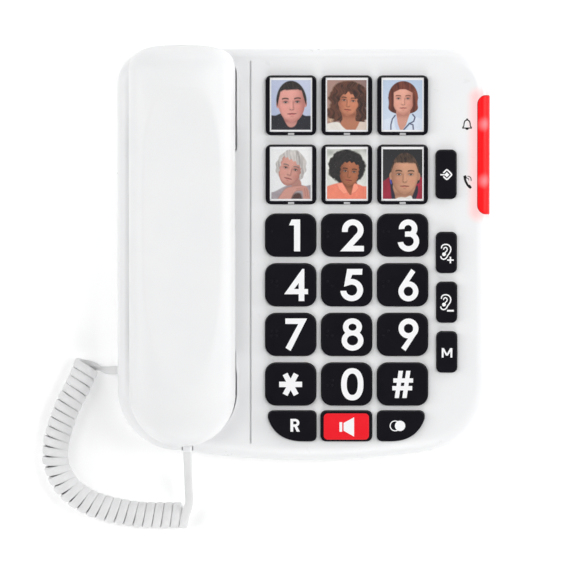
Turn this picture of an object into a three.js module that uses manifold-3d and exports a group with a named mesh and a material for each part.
// A corded big-button desk telephone: a wedge-shaped base with a handset cradle on its left,
// six picture memory keys, a twelve-key dial pad, seven function keys and a ringer lamp on its
// right edge, and a handset joined to it by a curly cord.
// Millimetres, +Z up, +X to the right of someone using it, +Y away from them.
// The origin is on the table, under the middle of the base.
import * as THREE from "three";
import { mergeVertices } from "three/addons/utils/BufferGeometryUtils.js";
import Module from "manifold-3d";

const wasm = await Module();
wasm.setup();

// ---------------------------------------------------------------- driving dimensions
const HALF_W = 95.93; // half the base's width
const BACK_Y = 105.3; // the base's straight rear edge
const TILT = THREE.MathUtils.degToRad(8); // slope of the deck
const DECK_Z = 39; // height of the deck over the origin
const WALL = 2.4; // base housing wall
const SPLIT_Z = 6.0; // where the two base housings meet
const SHOULDER = 7; // radius between wall and deck
const SHOULDER_FRONT = 8.5; // the same at the front edge
const GAP = 0.3; // between pieces that touch
const KEY_CLEAR = 0.25; // around a key in its window
const KEY_TOP = 2.6; // a key's top over the deck
const KEY_LOW = -6.2; // a key's lower face
const FLANGE_TOP = -2.7;
const FLANGE = 0.7; // how far a key's flange reaches past its cap
const WELL_DEEP = 9.8; // cradle wells under the deck
const WELL_CLEAR = 0.2; // the wells' outline past the handset's, which is narrower where it drops into them
const WELL_SHIFT = 0.5; // and towards the key field
const HS_X = -62.35; // handset's middle
const HS_HALF = 27.4; // half its width
const HS_EAR_Y = 108.04; // handset's ear end, over the table
const HS_MOUTH_Y = -98.43; // its mouth end
const HS_SPLIT = 7; // handset shells meet here, over the deck
const HS_TOP = 22; // crown of the handset over the deck
const HS_LOW = -8.6; // faces of the ear and mouth cups
const HS_GRIP = 4.6; // underside of the grip
const HS_WALL = 2;
const CORD_R = 6.95; // outside radius of the curly cord
const LEAD_R = 2.2; // radius of its straight leads
const JACK_Y = -60; // where the cord leaves the base
const JACK_Z = 10.6;
const LEAD_X = -59.8; // where the cord leaves the handset

const cosT = Math.cos(TILT), sinT = Math.sin(TILT), tanT = Math.tan(TILT);
const deckZ = (y) => DECK_Z + y * tanT;
// The deck's own frame: x across, y up the slope, z out of the deck.
const DECK = new THREE.Matrix4().makeRotationX(TILT).setPosition(0, 0, DECK_Z);

// ---------------------------------------------------------------- helpers
function solid(geometry) {
  const g = geometry.index ? geometry.toNonIndexed() : geometry.clone();
  for (const n of Object.keys(g.attributes)) if (n !== "position") g.deleteAttribute(n);
  const m = mergeVertices(g, 1e-4);
  return new wasm.Manifold(
    new wasm.Mesh({
      numProp: 3,
      vertProperties: new Float32Array(m.attributes.position.array),
      triVerts: new Uint32Array(m.index.array),
    }),
  );
}
function geometryOf(man) {
  const m = man.getMesh();
  const v = new Float32Array(m.numVert * 3);
  for (let i = 0; i < m.numVert; i++)
    for (let k = 0; k < 3; k++) v[i * 3 + k] = m.vertProperties[i * m.numProp + k];
  const g = new THREE.BufferGeometry();
  g.setAttribute("position", new THREE.BufferAttribute(v, 3));
  g.setIndex(new THREE.BufferAttribute(new Uint32Array(m.triVerts), 1));
  g.computeVertexNormals();
  return g;
}
const cut = (a, ...bs) => bs.reduce((s, b) => s.subtract(b), a);
const join = (a, ...bs) => bs.reduce((s, b) => s.add(b), a);

// A closed body through rings of points, each ring running anticlockwise seen from above.
function loft(rings) {
  const n = rings[0].length, p = [], f = [];
  rings.forEach((r) => r.forEach((q) => p.push(q[0], q[1], q[2])));
  for (let i = 0; i + 1 < rings.length; i++)
    for (let j = 0; j < n; j++) {
      const a = i * n + j, b = i * n + ((j + 1) % n);
      f.push(a, b, b + n, a, b + n, a + n);
    }
  const cap = (ring, base, up) => {
    const tris = THREE.ShapeUtils.triangulateShape(ring.map((q) => new THREE.Vector2(q[0], q[1])), []);
    for (const [a, b, c] of tris) up ? f.push(base + a, base + b, base + c) : f.push(base + a, base + c, base + b);
  };
  cap(rings[0], 0, false);
  cap(rings.at(-1), (rings.length - 1) * n, true);
  const g = new THREE.BufferGeometry();
  g.setAttribute("position", new THREE.Float32BufferAttribute(p, 3));
  g.setIndex(f);
  return g;
}
function roundRect(w, h, r, seg = 3, cx = 0, cy = 0) {
  const pts = [];
  for (let q = 0; q < 4; q++) {
    const sx = q === 0 || q === 3 ? 1 : -1, sy = q < 2 ? 1 : -1;
    for (let i = 0; i <= seg; i++) {
      const a = ((q + i / seg) * Math.PI) / 2;
      pts.push([cx + sx * (w / 2 - r) + r * Math.cos(a), cy + sy * (h / 2 - r) + r * Math.sin(a)]);
    }
  }
  return pts;
}
// Moves a closed anticlockwise outline inwards by d (outwards if d is negative).
function inset(pts, d) {
  const n = pts.length;
  return pts.map((p, i) => {
    const a = pts[(i + n - 1) % n], b = pts[(i + 1) % n];
    const u = [p[0] - a[0], p[1] - a[1]], v = [b[0] - p[0], b[1] - p[1]];
    const lu = Math.hypot(...u), lv = Math.hypot(...v);
    const n1 = [-u[1] / lu, u[0] / lu], n2 = [-v[1] / lv, v[0] / lv];
    const k = 1 + n1[0] * n2[0] + n1[1] * n2[1];
    const D = typeof d === "function" ? d(p) : d;
    return [p[0] + (D * (n1[0] + n2[0])) / k, p[1] + (D * (n1[1] + n2[1])) / k];
  });
}
const prism = (pts, z0, z1) => loft([pts.map((p) => [p[0], p[1], z0]), pts.map((p) => [p[0], p[1], z1])]);
const box = (x0, x1, y0, y1, z0, z1) =>
  new THREE.BoxGeometry(x1 - x0, y1 - y0, z1 - z0).translate((x0 + x1) / 2, (y0 + y1) / 2, (z0 + z1) / 2);
const rod = (r, z0, z1, x, y, seg = 16) =>
  new THREE.CylinderGeometry(r, r, z1 - z0, seg).rotateX(Math.PI / 2).translate(x, y, (z0 + z1) / 2);
const onDeck = (g) => g.applyMatrix4(DECK);

// ---------------------------------------------------------------- base outline
// Straight sides and rear, two rear corners, two big front corners and a bowed front edge.
const outline = (() => {
  const L = -HALF_W, R = HALF_W, B = BACK_Y, pts = [];
  const arc = (cx, cy, r, a0, a1, n) => {
    for (let i = 0; i <= n; i++) {
      const a = THREE.MathUtils.degToRad(a0 + ((a1 - a0) * i) / n);
      pts.push([cx + r * Math.cos(a), cy + r * Math.sin(a)]);
    }
  };
  const bez = (a, b, c, d, n, skip = 1) => {
    const curve = new THREE.CubicBezierCurve(...[a, b, c, d].map((q) => new THREE.Vector2(...q)));
    for (let i = skip; i <= n; i++) {
      const q = curve.getPoint(i / n);
      pts.push([q.x, q.y]);
    }
  };
  arc(L + 31.9, -69.8, 31.9, 180, 262.5, 9); // front left, round the handset's end
  const f0 = pts.at(-1), f1 = [60.7, -102.5];
  const t = THREE.MathUtils.degToRad(7.5);
  bez(f0, [f0[0] + 51.5 * Math.cos(t), f0[1] - 51.5 * Math.sin(t)], [f1[0] - 51.5 * Math.cos(t), f1[1] - 51.5 * Math.sin(t)], f1, 8);
  bez(f1, [f1[0] + 21 * Math.cos(t), f1[1] + 21 * Math.sin(t)], [R, -64.5 - 23], [R, -64.5], 9);
  arc(R - 21.6, B - 21.6, 21.6, 0, 90, 7);
  arc(L + 18.5, B - 18.5, 18.5, 90, 180, 7);
  return pts;
})();
const shoulderAt = (p) => {
  const s = THREE.MathUtils.smoothstep(-p[1], 62, 100);
  return SHOULDER + (SHOULDER_FRONT - SHOULDER) * s;
};
// The base's outer shape, grown by e: wall, rounded shoulder and sloping deck.
function baseBody(e, z0, wallRings = 3, arcRings = 5) {
  const rings = [];
  const o = inset(outline, -e);
  for (let i = 0; i < wallRings; i++) {
    const f = i / wallRings, pts = inset(outline, 1.1 * (1 - f) ** 1.6 - e);
    rings.push(pts.map((p, k) => [p[0], p[1], z0 + f * (deckZ(outline[k][1]) - shoulderAt(outline[k]) - z0)]));
  }
  for (let i = 0; i <= arcRings; i++) {
    const a = ((i / arcRings) * Math.PI) / 2;
    const pts = inset(outline, (p) => shoulderAt(p) * (1 - Math.cos(a)) - e * Math.cos(a));
    rings.push(pts.map((p, k) => {
      const r = shoulderAt(outline[k]);
      return [p[0], p[1], deckZ(p[1]) - r * (1 - Math.sin(a)) + e * Math.sin(a)];
    }));
  }
  return loft(rings);
}

// ---------------------------------------------------------------- keys
// Every key: name, middle and size of its cap on the deck, corner radius.
const GRID = 0.515; // the layout grid
const gx = (u) => (u - 303.25) * GRID, gy = (v) => ((253.5 - v) * GRID) / cosT;
const KEY_R = 5.4;
const capOf = (x0, y0, x1, y1) => ({
  x: gx((x0 + x1) / 2), y: gy((y0 + y1) / 2) + KEY_TOP * tanT, w: (x1 - x0) * GRID, h: ((y1 - y0) * GRID) / cosT,
});
const dial = [];
["1", "2", "3", "4", "5", "6", "7", "8", "9", "star", "0", "hash"].forEach((n, i) => {
  const c = i % 3, r = Math.floor(i / 3);
  dial.push({ name: "key_" + n, r: KEY_R, ...capOf(265.5 + 56 * c, 214.6 + 49.7 * r, 316 + 56 * c, 257 + 49.7 * r) });
});
const photo = [];
for (let i = 0; i < 6; i++) {
  const c = i % 3, r = Math.floor(i / 3);
  photo.push({ n: i + 1, r: 2.6, ...capOf(266.1 + 55.8 * c, 76.8 + 69 * r, 315.9 + 55.8 * c, 135.4 + 69 * r) });
}
const side = [
  { name: "key_store", r: 2.6, ...capOf(436, 150.8, 456.2, 199.2) },
  { name: "key_volume_up", r: 2.6, ...capOf(436.4, 233, 456.6, 273.3) },
  { name: "key_volume_down", r: 2.6, ...capOf(436.8, 282.8, 457, 323) },
  { name: "key_mute", r: 2.6, ...capOf(437, 332.4, 457.2, 373) },
];
// The lower row: a middle key, and two whose outer lower corner is swept away.
const sweep = (key, mirror) => {
  const { x, y, w, h } = key, s = mirror ? -1 : 1;
  const P = (a, b) => [x + s * a * w, y + b * h];
  const pts = [], bz = (a, b, c, n) => {
    const q = new THREE.QuadraticBezierCurve(new THREE.Vector2(...a), new THREE.Vector2(...b), new THREE.Vector2(...c));
    for (let i = 0; i <= n; i++) { const v = q.getPoint(i / n); pts.push([v.x, v.y]); }
  };
  bz(P(0.5, 0.33), P(0.5, 0.5), P(0.38, 0.5), 3); // inner upper corner
  bz(P(-0.4, 0.5), P(-0.52, 0.46), P(-0.485, 0.22), 3); // outer upper corner
  bz(P(-0.485, 0.22), P(-0.32, -0.5), P(0.22, -0.5), 6); // the long sweep
  bz(P(0.38, -0.5), P(0.5, -0.5), P(0.5, -0.33), 3); // inner lower corner
  const out = pts.filter((p, i) => i === 0 || Math.hypot(p[0] - pts[i - 1][0], p[1] - pts[i - 1][1]) > 0.05);
  return mirror ? out.reverse() : out;
};
const low = [
  { name: "key_flash", ...capOf(268, 411.8, 316.2, 442) },
  { name: "key_speaker", r: 2.6, ...capOf(321, 411.8, 372, 442) },
  { name: "key_redial", ...capOf(377.6, 411.8, 425, 442) },
];
low[0].pts = sweep(low[0], false);
low[2].pts = sweep(low[2], true);
const capPoints = (k) => k.pts ?? roundRect(k.w, k.h, k.r, 3, k.x, k.y);

function keyBody(k, top = KEY_TOP) {
  const c = capPoints(k), at = (pts, z) => pts.map((p) => [p[0], p[1], z]);
  const f = inset(c, -FLANGE);
  return loft([at(f, KEY_LOW), at(f, FLANGE_TOP), at(c, FLANGE_TOP), at(c, top - 0.9), at(inset(c, 0.9), top)]);
}

// ---------------------------------------------------------------- handset outline and lofted body
// Half width and height of the handset along y, all over the deck's own frame.
const EAR = HS_EAR_Y / cosT, MOUTH = HS_MOUTH_Y / cosT;
const EAR_B = 15.6, MOUTH_R = HS_HALF; // how far each end's plan rounding reaches
function hsHalf(y, grow = 0) {
  const a = HS_HALF + grow, ye = EAR + grow, ym = MOUTH - grow;
  if (y > ye - EAR_B) return a * (1 - Math.min(1, (y - ye + EAR_B) / EAR_B) ** 3.2) ** (1 / 3.2);
  const r = MOUTH_R + grow;
  if (y < ym + r) return a * Math.sqrt(Math.max(0, 1 - Math.min(1, (ym + r - y) / r) ** 2));
  return a;
}
function hsTop(y, d) {
  const top = HS_TOP - d, base = HS_SPLIT, ye = EAR - d, ym = MOUTH + d;
  const e = Math.max(0, y - ye + 20) / 20, m = Math.max(0, ym + 27 - y) / 27;
  return base + (top - base) * Math.max(0, 1 - Math.min(1, e) ** 2.6 - Math.min(1, m) ** 2.5) ** (1 / 2.5);
}
const sm = THREE.MathUtils.smoothstep;
function hsLow(y, d) {
  const ye = EAR - d, ym = MOUTH + d;
  let z = HS_LOW + (HS_GRIP - HS_LOW) * (sm(y, -58, -50.5) * (1 - sm(y, 61.3, 68)));
  z += (HS_GRIP - 0.6 - HS_LOW) * sm(y, ye - 15, ye - 9.5);
  const m = Math.min(1, Math.max(0, ym + 9 - y) / 9), e = Math.min(1, Math.max(0, y - ye + 4) / 4);
  z += (HS_SPLIT - z) * (1 - (1 - m ** 2.4) ** (1 / 2.4)) + (HS_SPLIT - z) * (1 - (1 - e ** 2.4) ** (1 / 2.4));
  return Math.min(HS_SPLIT - 0.02, z + d);
}
// The oval face sunk into the handset's back.
function hsFacet(y) {
  const s = Math.abs(y - 11.4) / 77.5;
  return 18.4 + 3.4 * s ** 3;
}
function handsetBody(d, stations, around) {
  // d is the distance in from the outer skin
  const rings = [], ye = EAR - d, ym = MOUTH + d;
  const ys = [];
  for (let i = 0; i <= stations; i++) {
    const s = i / stations; // closer together towards the two ends
    ys.push(ym + (ye - ym) * (0.5 - 0.5 * Math.cos(Math.PI * (0.06 + 0.88 * s))));
  }
  const lo = ys[0], hi = ys.at(-1);
  ys.forEach((y, i) => (ys[i] = ym + 0.25 + ((y - lo) / (hi - lo)) * (ye - ym - 0.5)));
  for (const y of ys) {
    const w = Math.max(0.8, hsHalf(y, -d)), t = hsTop(y, d), b = hsLow(y, d), ring = [];
    const H = Math.max(t - HS_SPLIT, 0.4);
    for (let i = 0; i <= around; i++) {
      const a = (i / around) * Math.PI, c = Math.cos(a), s = Math.sin(a);
      const u = Math.sign(c) * Math.abs(c) ** 0.83, v = Math.abs(s) ** 0.83;
      ring.push([w * u, Math.min(HS_SPLIT + H * v, hsFacet(y) - d)]);
    }
    const dr = Math.min(1.2, w * 0.05), r = Math.min(4, (HS_SPLIT - b) * 0.45, w * 0.4);
    ring.push([-(w - dr), b + r], [-(w - dr) + 0.3 * r, b + 0.3 * r], [-(w - dr) + r, b]);
    ring.push([w - dr - r, b], [w - dr - 0.3 * r, b + 0.3 * r], [w - dr, b + r]);
    rings.push(ring.map(([x, z]) => [x, y, z]));
  }
  // The rings stand upright, so they are lofted along y and capped at each end.
  const turned = rings.map((r) => r.map(([x, y, z]) => [x, -z, y]));
  const g = loft(turned.map((r) => r.slice().reverse()));
  g.applyMatrix4(new THREE.Matrix4().set(1, 0, 0, HS_X, 0, 0, 1, 0, 0, -1, 0, 0, 0, 0, 0, 1));
  return g;
}
// Plan of the cradle's wells: the handset's own outline with room round it.
function wellPlan(y0, y1, grow, n, round) {
  const pts = [], ys = [];
  for (let i = 0; i <= n; i++) ys.push(y0 + (y1 - y0) * (round ? 1 - Math.cos(((i / n) * Math.PI) / 2) : i / n));
  for (const y of ys) pts.push([HS_X + hsHalf(y, grow), y]);
  for (const y of ys.slice().reverse()) {
    const w = hsHalf(y, grow);
    if (w > 0.05) pts.push([HS_X - w, y]);
  }
  return pts;
}

// ---------------------------------------------------------------- base housings
const windowsFor = [...dial, ...photo, ...side, ...low];
const keyWindows = windowsFor.flatMap((k) => [
  solid(onDeck(prism(inset(capPoints(k), -KEY_CLEAR), -14, 6))),
  solid(onDeck(prism(inset(capPoints(k), -FLANGE - KEY_CLEAR), -14, FLANGE_TOP + 0.3))),
]);

const earWellPlan = roundRect(2 * (HS_HALF + WELL_CLEAR), 49.8, 6, 4, HS_X + WELL_SHIFT, gy(62) - 24.9);
const mouthY0 = MOUTH - WELL_CLEAR, mouthY1 = gy(350);
const mouthWellPlan = wellPlan(mouthY0 + 0.02, mouthY1, WELL_CLEAR, 9, true).map((p) => [p[0] + WELL_SHIFT, p[1]]);
const wellCutters = [earWellPlan, mouthWellPlan].map((p) => solid(onDeck(prism(p, -WELL_DEEP, 12))));
const wellWalls = [earWellPlan, mouthWellPlan].map((p) => solid(onDeck(prism(inset(p, -2), -WELL_DEEP - 2, -0.5))));

const outer = solid(baseBody(0, SPLIT_Z + 0.15));
const inner = solid(baseBody(-WALL, SPLIT_Z - 2, 1, 3));
let top = cut(outer, inner);
top = join(top, ...wellWalls.map((w) => w.intersect(outer)));
// bosses for the two housing screws, and the guide of the hook plunger
const SCREWS = [[-80, 78], [80, 78]];
const HOOK = { x: HS_X, y: 79.6, w: 12, h: 7 };
for (const [x, y] of SCREWS) top = join(top, solid(rod(4, SPLIT_Z + 3, deckZ(y) - 2, x, y, 12)).intersect(outer));
top = cut(top, ...keyWindows, ...wellCutters);
for (const [x, y] of SCREWS) top = cut(top, solid(rod(1.8, SPLIT_Z - 1, 22, x, y, 10)));
top = cut(top, solid(onDeck(prism(roundRect(HOOK.w + 0.7, HOOK.h + 0.7, 2, 2, HOOK.x, HOOK.y), -16, -6))));
// the groove between cradle and key field
top = cut(top, solid(onDeck(box(gx(250.5) - 0.45, gx(250.5) + 0.45, gy(444), gy(61), -0.8, 3))));
// the notch that the handset's lead lies in, open at the top so that the handset can be lifted out
top = cut(top, solid(onDeck(prism(roundRect(5.2, 14, 0.4, 1, LEAD_X, -101), -6.4, 6))));
// the ringer lamp's window
const lampPlan = (g) => roundRect(40 + 2 * g, (213.8 - 95.6) * GRID / cosT + 2 * g, 4.4 + g, 6, gx(477.6) + 20, gy((213.8 + 95.6) / 2));
const lampSide = (g) => {
  const pts = roundRect((213.8 - 95.6) * GRID / cosT + 2 * g, 40 + 2 * g, 4.4 + g, 6, gy((213.8 + 95.6) / 2), 6);
  // drawn in y and z, pushed through along x
  return prism(pts, 60, 110).applyMatrix4(new THREE.Matrix4().set(0, 0, 1, 0, 1, 0, 0, 0, 0, 1, 0, 0, 0, 0, 0, 1));
};
const lampBlock = (g) => solid(onDeck(prism(lampPlan(g), -30, 12))).intersect(solid(onDeck(lampSide(g))));
top = cut(top, lampBlock(GAP));
const lamp = solid(baseBody(0, SPLIT_Z + 0.15, 3, 5)).subtract(solid(baseBody(-1.8, SPLIT_Z - 2, 3, 5))).intersect(lampBlock(0));
// the two sockets' windows
const LINE = { x: 42, w: 14, z0: 9, z1: 21.4 };
// the shelf that the line socket sits on
top = join(top, solid(box(LINE.x - 10, LINE.x + 10, 88, 103.6, SPLIT_Z + 0.15, LINE.z0 - GAP)));
top = cut(top, solid(box(LINE.x - LINE.w / 2 - GAP, LINE.x + LINE.w / 2 + GAP, 88, 120, LINE.z0 - GAP, LINE.z1 + GAP)));
top = cut(top, solid(box(-110, -80, JACK_Y - 5.6, JACK_Y + 5.6, JACK_Z - 4.2, JACK_Z + 4.6)));

// lower housing: a tray with feet recesses, screw wells and a sound grille
const trayRing = (d, z) => inset(outline, d).map((p) => [p[0], p[1], z]);
let tray = cut(
  solid(loft([trayRing(4.2, 2), trayRing(2.4, 3.1), trayRing(1.1, SPLIT_Z - 0.15)])),
  solid(loft([trayRing(4.8, 4.2), trayRing(3.6, SPLIT_Z + 2)])),
);
const inTray = solid(loft([trayRing(4.4, 2), trayRing(3.8, 12)]));
for (const [x, y] of SCREWS) tray = join(tray, solid(rod(5, 3, SPLIT_Z + 2.6, x, y, 12)).intersect(inTray));
for (const [x, y] of SCREWS) tray = cut(tray, solid(rod(3.6, 1, 5, x, y, 12)), solid(rod(1.9, 1, 12, x, y, 10)));
const FEET = [["rear", 86], ["front", -84]];
const footPlan = (y, g) => roundRect((y > 0 ? 150 : 120) + 2 * g, 9 + 2 * g, 4.4 + g, 3, 0, y);
for (const [, y] of FEET) tray = cut(tray, solid(prism(footPlan(y, GAP), 1, 3)));
const SPK = { x: -60, y: 5 };
for (let i = -3; i <= 3; i++) {
  const l = Math.sqrt(20 * 20 - (i * 5.2) ** 2);
  tray = cut(tray, solid(prism(roundRect(2 * l, 2, 0.9, 2, SPK.x, SPK.y + i * 5.2), 1, 6)));
}
// snap tongues at the front, which hook inside the upper housing
for (const x of [-20, 30]) tray = join(tray, solid(box(x - 4, x + 4, -98.2, -96.4, 3, 10.5)));

// ---------------------------------------------------------------- inside the base
const boardPts = [[-24, -92], [58, -92], [80, -74], [82, -70], [82, 96], [-24, 96]];
const INTO_DECK = DECK.clone().invert();
const bossRoom = solid(rod(4.6, 0, 80, SCREWS[1][0], SCREWS[1][1], 12).applyMatrix4(INTO_DECK));
const board = cut(solid(prism(boardPts, -12.6, -11)), bossRoom);
let mat = cut(solid(prism([[-23, -91], [57, -91], [79, -73], [81, -69], [81, 95], [-23, 95]], -10.6, -9)), bossRoom);
for (const k of windowsFor)
  mat = mat.add(solid(new THREE.CylinderGeometry(2.4, 3.8, 1.5, 8).rotateX(Math.PI / 2).translate(k.x, k.y, -8.45)));

const speaker = solid(new THREE.LatheGeometry(
  [[0, 0], [25, 0], [25, 2], [22, 3], [15, 8], [11, 8], [11, 14], [0, 14]].map((p) => new THREE.Vector2(...p)), 20,
).rotateX(Math.PI / 2).translate(SPK.x, SPK.y, 4.6));

const hook = (() => {
  const c = roundRect(HOOK.w, HOOK.h, 1.7, 2, HOOK.x, HOOK.y), f = inset(c, -1.4);
  const at = (p, z) => p.map((q) => [q[0], q[1], z]);
  return loft([at(f, -18), at(f, -16.6), at(c, -16.6), at(c, HS_LOW - 1), at(inset(c, 0.7), HS_LOW - GAP)]);
})();

const lineJack = cut(
  solid(box(LINE.x - LINE.w / 2, LINE.x + LINE.w / 2, 89, 103.6, LINE.z0, LINE.z1)),
  solid(box(LINE.x - 5.9, LINE.x + 5.9, 91.5, 110, 11.2, 18.6)),
  solid(box(LINE.x - 3.2, LINE.x + 3.2, 91.5, 110, 18, 20)),
);
const cordJack = cut(
  solid(box(-93.8, -80.6, JACK_Y - 5.3, JACK_Y + 5.3, JACK_Z - 3.9, JACK_Z + 4.3)),
  solid(box(-99, -81.9, JACK_Y - 4.1, JACK_Y + 4.1, JACK_Z - 3.1, JACK_Z + 3.5)),
);

// ---------------------------------------------------------------- handset
const hsOuter = solid(handsetBody(0, 34, 18));
const hsInner = solid(handsetBody(HS_WALL, 20, 10));
const slab = (z0, z1) => solid(box(HS_X - 60, HS_X + 60, MOUTH - 20, EAR + 20, z0, z1));
const shell = hsOuter.subtract(hsInner);
let back = shell.intersect(slab(HS_SPLIT + 0.15, 60));
let front = shell.intersect(slab(-40, HS_SPLIT - 0.15));
const EARPIECE = { x: HS_X, y: 80.4 }, MIC = { x: HS_X, y: gy(398) };
// sound holes of the earpiece and the microphone
for (let i = 0; i < 7; i++) {
  const a = (i * Math.PI) / 3, r = i === 6 ? 0 : 5.6;
  front = cut(front, solid(rod(1.3, HS_LOW - 2, HS_LOW + 4, EARPIECE.x + r * Math.cos(a), EARPIECE.y + r * Math.sin(a), 8)));
}
for (let i = -1; i <= 1; i++) front = cut(front, solid(rod(0.9, HS_LOW - 2, HS_LOW + 4, MIC.x + 4 * i, MIC.y, 8)));
// the plug's opening in the mouth end
const PLUG_Z = -3.2; // over the deck
front = cut(front, solid(box(LEAD_X - 4.2, LEAD_X + 4.2, MOUTH - 5, MOUTH + 13, PLUG_Z - 3.6, PLUG_Z + 3.6)));
const receiver = new THREE.LatheGeometry(
  [[0, 0], [9.1, 0], [9.1, 5.5], [6, 5.5], [6, 8.5], [0, 8.5]].map((p) => new THREE.Vector2(...p)), 20,
).rotateX(Math.PI / 2).translate(EARPIECE.x, EARPIECE.y, HS_LOW + HS_WALL + GAP);
const mic = rod(5, HS_LOW + HS_WALL + GAP, HS_LOW + HS_WALL + GAP + 5, MIC.x, MIC.y, 14);

// ---------------------------------------------------------------- cord
// Middle line of the coiled part, which lies on the table, from the base end to the handset end.
const COIL = [
  [86, 365.5], [82.3, 373.8], [76.8, 386.2], [68.5, 402.6], [60.4, 422.7], [55.3, 440.3], [53.9, 454],
  [56.2, 469.5], [66.5, 488], [82, 500.3], [105.9, 510], [132, 514.9], [157.5, 516.5], [184.4, 516.6],
].map(([u, v]) => new THREE.Vector3((u - 303.25) * GRID, (253.5 - v) * GRID, CORD_R));
const ringOf = (r, n) => new THREE.Shape(
  Array.from({ length: n }, (_, i) => {
    const a = ((i + 0.5) / n) * 2 * Math.PI; // a flat side faces down
    return new THREE.Vector2(r * Math.cos(a), r * Math.sin(a));
  }),
);
const tube = (points, r, n, steps) =>
  new THREE.ExtrudeGeometry(ringOf(r, n), {
    steps, bevelEnabled: false, extrudePath: new THREE.CatmullRomCurve3(points, false, "centripetal"),
  });
const coil = tube(COIL, CORD_R, 12, 26);
const V = (x, y, z) => new THREE.Vector3(x, y, z);
const plugY = HS_MOUTH_Y + 1.7; // rear face of the handset's plug
const plugZ = deckZ(plugY) + PLUG_Z * cosT;
const leadHandset = tube(
  [V(LEAD_X, plugY + 0.1, plugZ), V(LEAD_X, -104, plugZ - 0.4), V(LEAD_X, -111, plugZ - 2.2), V(LEAD_X + 0.4, -120, plugZ - 5.6),
    V(LEAD_X + 1.1, -128, plugZ - 8.4), V(LEAD_X + 1.25, -134.5, 12.2), V(LEAD_X + 1.25, -139.2, 10), V(LEAD_X + 1.25, -141.1, 6.4)],
  LEAD_R, 8, 16,
);
const leadBase = tube(
  [V(-93.9, JACK_Y, JACK_Z), V(-98, JACK_Y + 0.2, JACK_Z - 0.2), V(-102.6, JACK_Y + 1.8, 8.2), V(-106.4, JACK_Y + 4, 4.8), V(-111, JACK_Y + 6.3, 2.6)],
  LEAD_R, 8, 9,
);
const plugOf = (len) => cut(
  solid(box(-len, 0, -3.8, 3.8, -3.05, 3.05)),
  solid(box(-len - 1, -len + 6, -2.9, 2.9, 1.9, 4)),
);

// ---------------------------------------------------------------- materials and the scene
const paint = (color, roughness, metalness = 0) => new THREE.MeshStandardMaterial({ color, roughness, metalness });
const WHITE = paint(0xf2f2f2, 0.38), BLACK = paint(0x1d1c21, 0.45), RED = paint(0xf21a28, 0.35);
const CLEAR = new THREE.MeshStandardMaterial({ color: 0xeef2f4, roughness: 0.08, transparent: true, opacity: 0.25 });
const CARD = paint(0xf4f4f2, 0.6), LAMP = paint(0xff2430, 0.25), RUBBER = paint(0x2a2a2c, 0.85);
const BOARD = paint(0x2f6b3c, 0.5), MATTE = paint(0xb9bcc0, 0.75), METAL = paint(0xb5b7ba, 0.35, 0.9);
const DARK = paint(0x333338, 0.6), PLUG = paint(0xdadfe2, 0.2), CORD = paint(0xe4e4e6, 0.45);

const phone = new THREE.Group();
const deck = new THREE.Group();
deck.position.set(0, 0, DECK_Z);
deck.rotation.x = TILT;
phone.add(deck);
const add = (parent, name, g, material) => {
  const m = new THREE.Mesh(g instanceof THREE.BufferGeometry ? g : geometryOf(g), material);
  m.name = name;
  parent.add(m);
  return m;
};

add(phone, "base_top_housing", top, WHITE);
add(phone, "base_bottom_housing", tray, WHITE);
add(phone, "ring_light_lens", lamp, LAMP);
for (const [n, y] of FEET) add(phone, n + "_foot_strip", prism(footPlan(y, 0), 0, 2.7), RUBBER);
SCREWS.forEach(([x, y], i) =>
  add(phone, "housing_screw_" + (i ? "right" : "left"),
    solid(rod(3.1, 2.5, 4.7, x, y, 12)).add(solid(rod(1.45, 4.5, 18, x, y, 10))).subtract(solid(rod(1.2, 2, 3.6, x, y, 4))), METAL));
add(deck, "main_circuit_board", board, BOARD);
add(deck, "keypad_rubber_mat", mat, MATTE);
add(phone, "loudspeaker", speaker, DARK);
add(phone, "line_jack", lineJack, DARK);
add(phone, "handset_cord_jack", cordJack, DARK);
add(deck, "hook_plunger", hook, WHITE);

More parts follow.
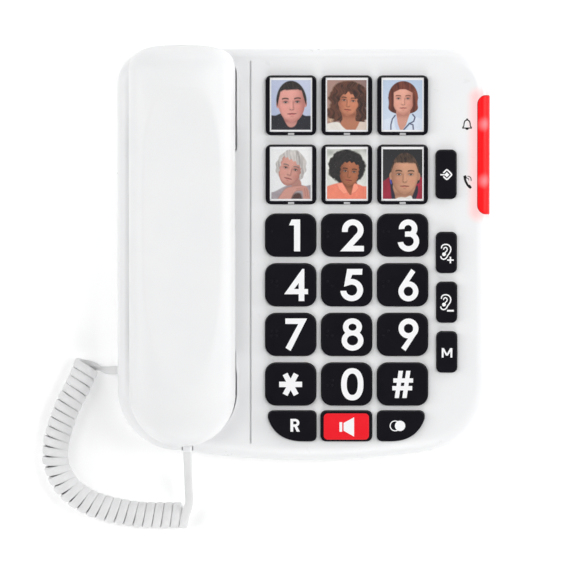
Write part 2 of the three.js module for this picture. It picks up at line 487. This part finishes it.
for (const k of dial) add(deck, k.name, keyBody(k), BLACK);
for (const k of side) add(deck, k.name, keyBody(k), BLACK);
for (const k of low) add(deck, k.name, keyBody(k), k.name === "key_speaker" ? RED : BLACK);
// Picture keys: a black key with a pocket, a paper card in it and a clear cover snapped over the card.
const CARD_W = 42.1 * GRID, CARD_H = (53.6 * GRID) / cosT;
for (const k of photo) {
  const cy = k.y + ((106.1 - 104.6) * GRID) / cosT; // the pocket sits a little towards the key's upper edge
  const pocket = solid(prism(roundRect(CARD_W + 0.6, CARD_H + 0.6, 0.5, 1, k.x, cy), 0.5, 5));
  const tab = solid(box(k.x - 1.9, k.x + 1.9, cy - CARD_H / 2 - 1.9, cy - CARD_H / 2, 1.3, 5));
  add(deck, "photo_key_" + k.n, cut(solid(keyBody(k)), pocket, tab), BLACK);
  add(deck, "photo_card_" + k.n, prism(roundRect(CARD_W - 0.2, CARD_H - 0.2, 0.4, 1, k.x, cy), 0.8, 1.2), CARD);
  const cover = join(
    solid(prism(roundRect(CARD_W, CARD_H, 0.6, 1, k.x, cy), 1.5, 2.5)),
    solid(box(k.x - 1.6, k.x + 1.6, cy - CARD_H / 2 - 1.6, cy - CARD_H / 2 + 0.4, 1.6, 2.4)),
  );
  add(deck, "photo_cover_" + k.n, cover, CLEAR);
}

add(deck, "handset_back_shell", back, WHITE);
add(deck, "handset_front_shell", front, WHITE);
add(deck, "receiver_capsule", receiver, DARK);
add(deck, "microphone_capsule", mic, DARK);
const plugHandset = new THREE.Matrix4().makeRotationZ(-Math.PI / 2).setPosition(LEAD_X, plugY / cosT, PLUG_Z);
add(deck, "cord_plug_handset", geometryOf(plugOf(11)).applyMatrix4(plugHandset), PLUG);
const plugBase = new THREE.Matrix4().makeRotationZ(Math.PI).setPosition(-93.6, JACK_Y, JACK_Z);
add(phone, "cord_plug_base", geometryOf(plugOf(11)).applyMatrix4(plugBase), PLUG);
add(phone, "curly_cord", coil, CORD);
add(phone, "cord_lead_handset", leadHandset, CORD);
add(phone, "cord_lead_base", leadBase, CORD);

export default phone;
